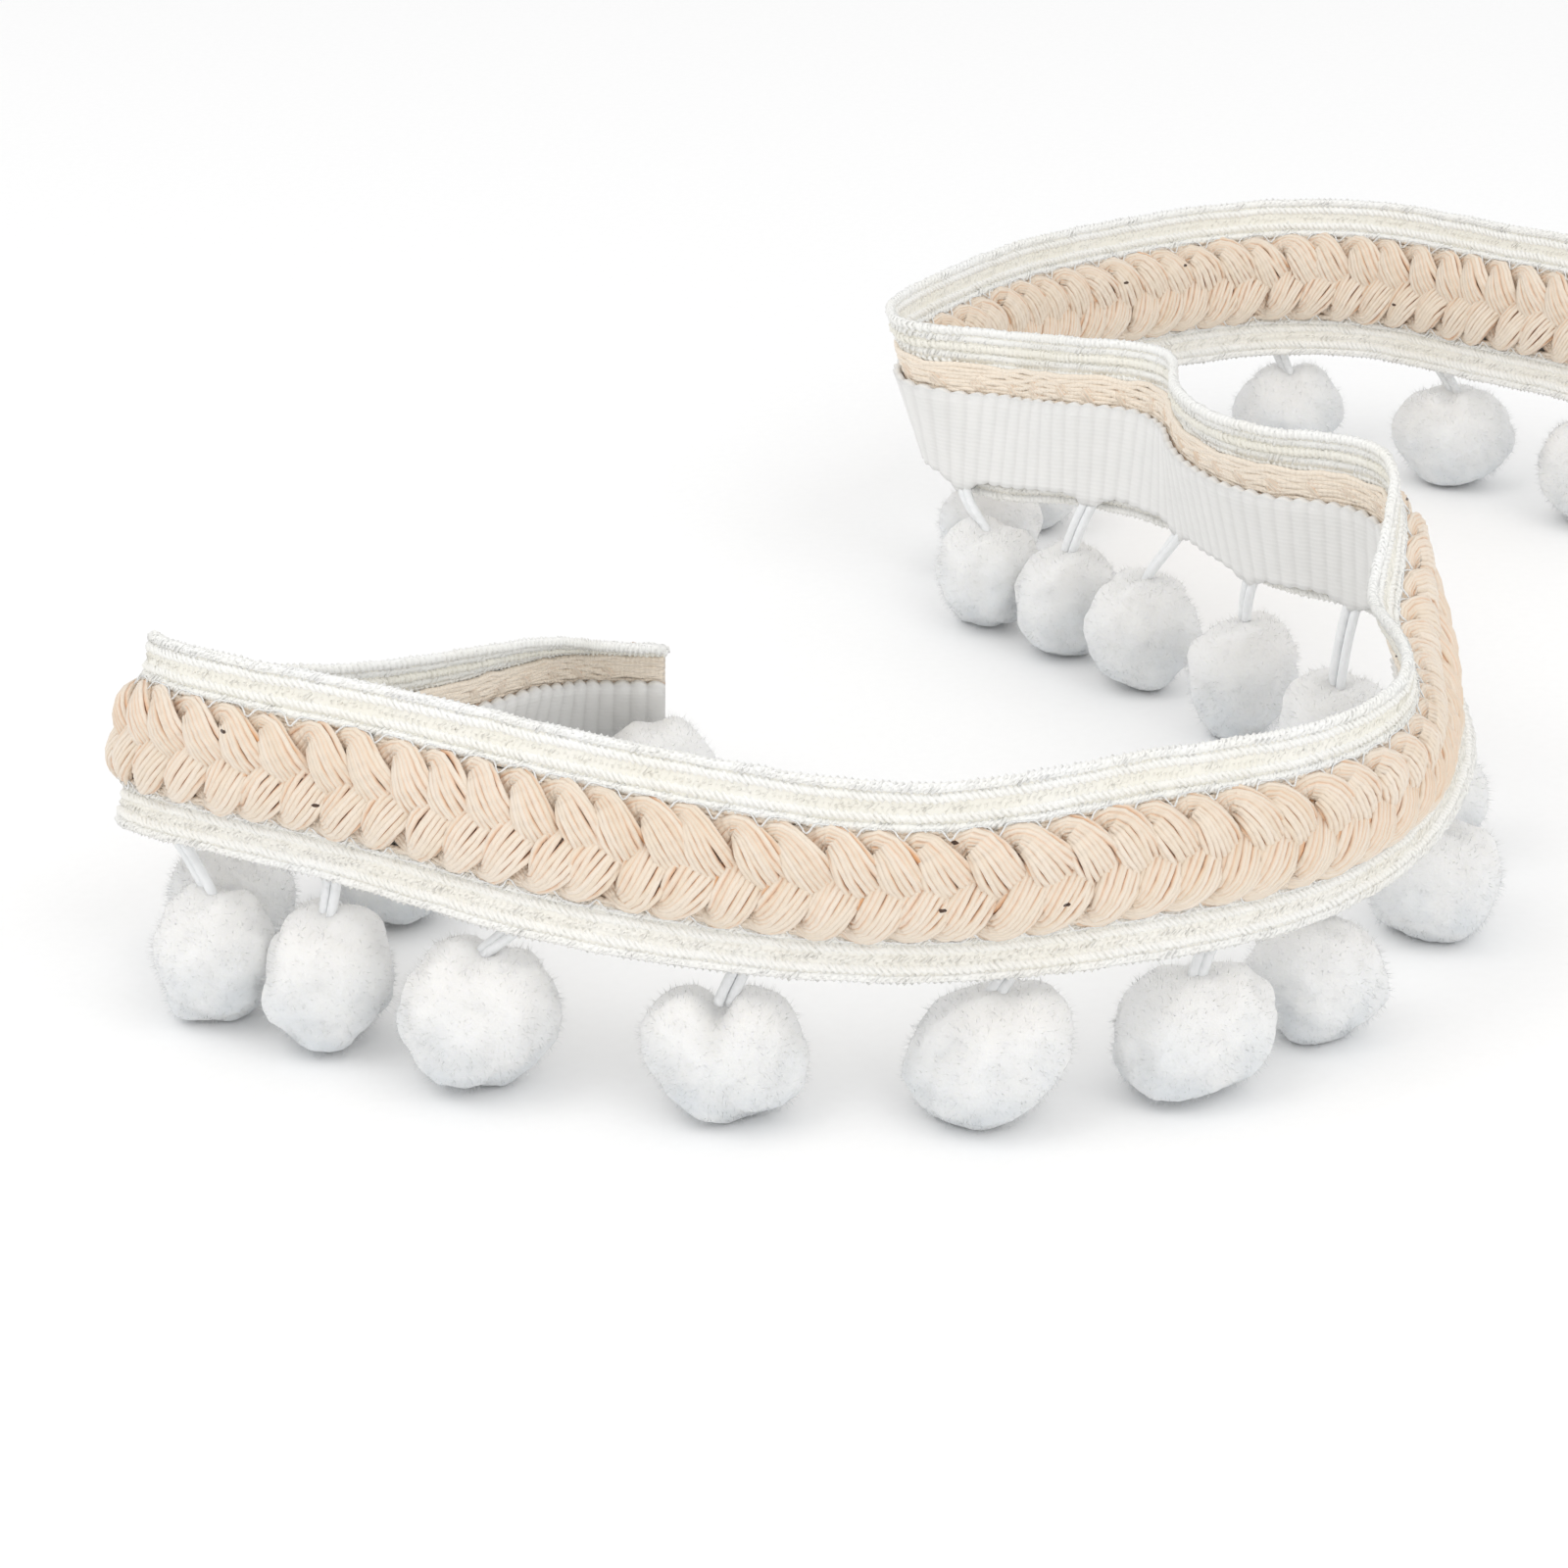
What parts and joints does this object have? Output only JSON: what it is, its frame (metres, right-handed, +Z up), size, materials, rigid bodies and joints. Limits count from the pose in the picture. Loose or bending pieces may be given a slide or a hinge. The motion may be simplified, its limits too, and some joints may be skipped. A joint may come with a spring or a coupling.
{
  "type": "pompom fringe trim",
  "caption": "Length of pompom fringe trim standing in an S-curve: a plaited cotton heading between ribbed gimp edges, with pile pompoms hung from a tape on short doubled cords.",
  "frame": {"origin": "on the surface that the trim stands on, under the middle of its outline", "axes": "+Z up; +Y along the S-curve's longer side, from its near stretch, which shows the plait to -Y, to its far stretch; +X to the right seen from -Y"},
  "size_m": [0.175, 0.1948, 0.041],
  "materials": {
    "gimp": "ivory rayon gimp, ribbed, with a silky glitter",
    "cotton": "unbleached cotton yarn, matt, with a few seed specks",
    "tape": "white cotton tape, matt, ribbed across",
    "pompom": "white cut pile, matt and fluffy",
    "cord": "white doubled cotton cord, matt"
  },
  "bodies": {
    "root": {"gimp_upper": "gimp", "cotton_plait": "cotton", "gimp_lower": "gimp", "pompom_tape": "tape", "pompom_01": "pompom", "pompom_02": "pompom", "pompom_03": "pompom", "pompom_04": "pompom", "pompom_05": "pompom", "pompom_06": "pompom", "pompom_07": "pompom", "pompom_08": "pompom", "pompom_09": "pompom", "pompom_10": "pompom", "pompom_11": "pompom", "pompom_12": "pompom", "pompom_13": "pompom", "pompom_14": "pompom", "pompom_15": "pompom", "pompom_16": "pompom", "pompom_17": "pompom", "pompom_18": "pompom", "pompom_19": "pompom", "pompom_20": "pompom", "pompom_21": "pompom", "pompom_22": "pompom", "pompom_23": "pompom", "pompom_24": "pompom", "pompom_cord_01": "cord", "pompom_cord_02": "cord", "pompom_cord_03": "cord", "pompom_cord_04": "cord", "pompom_cord_05": "cord", "pompom_cord_06": "cord", "pompom_cord_07": "cord", "pompom_cord_08": "cord", "pompom_cord_09": "cord", "pompom_cord_10": "cord", "pompom_cord_11": "cord", "pompom_cord_12": "cord", "pompom_cord_13": "cord", "pompom_cord_14": "cord", "pompom_cord_15": "cord", "pompom_cord_16": "cord", "pompom_cord_17": "cord", "pompom_cord_18": "cord", "pompom_cord_19": "cord", "pompom_cord_20": "cord", "pompom_cord_21": "cord", "pompom_cord_22": "cord", "pompom_cord_23": "cord", "pompom_cord_24": "cord"}
  },
  "joints": []
}
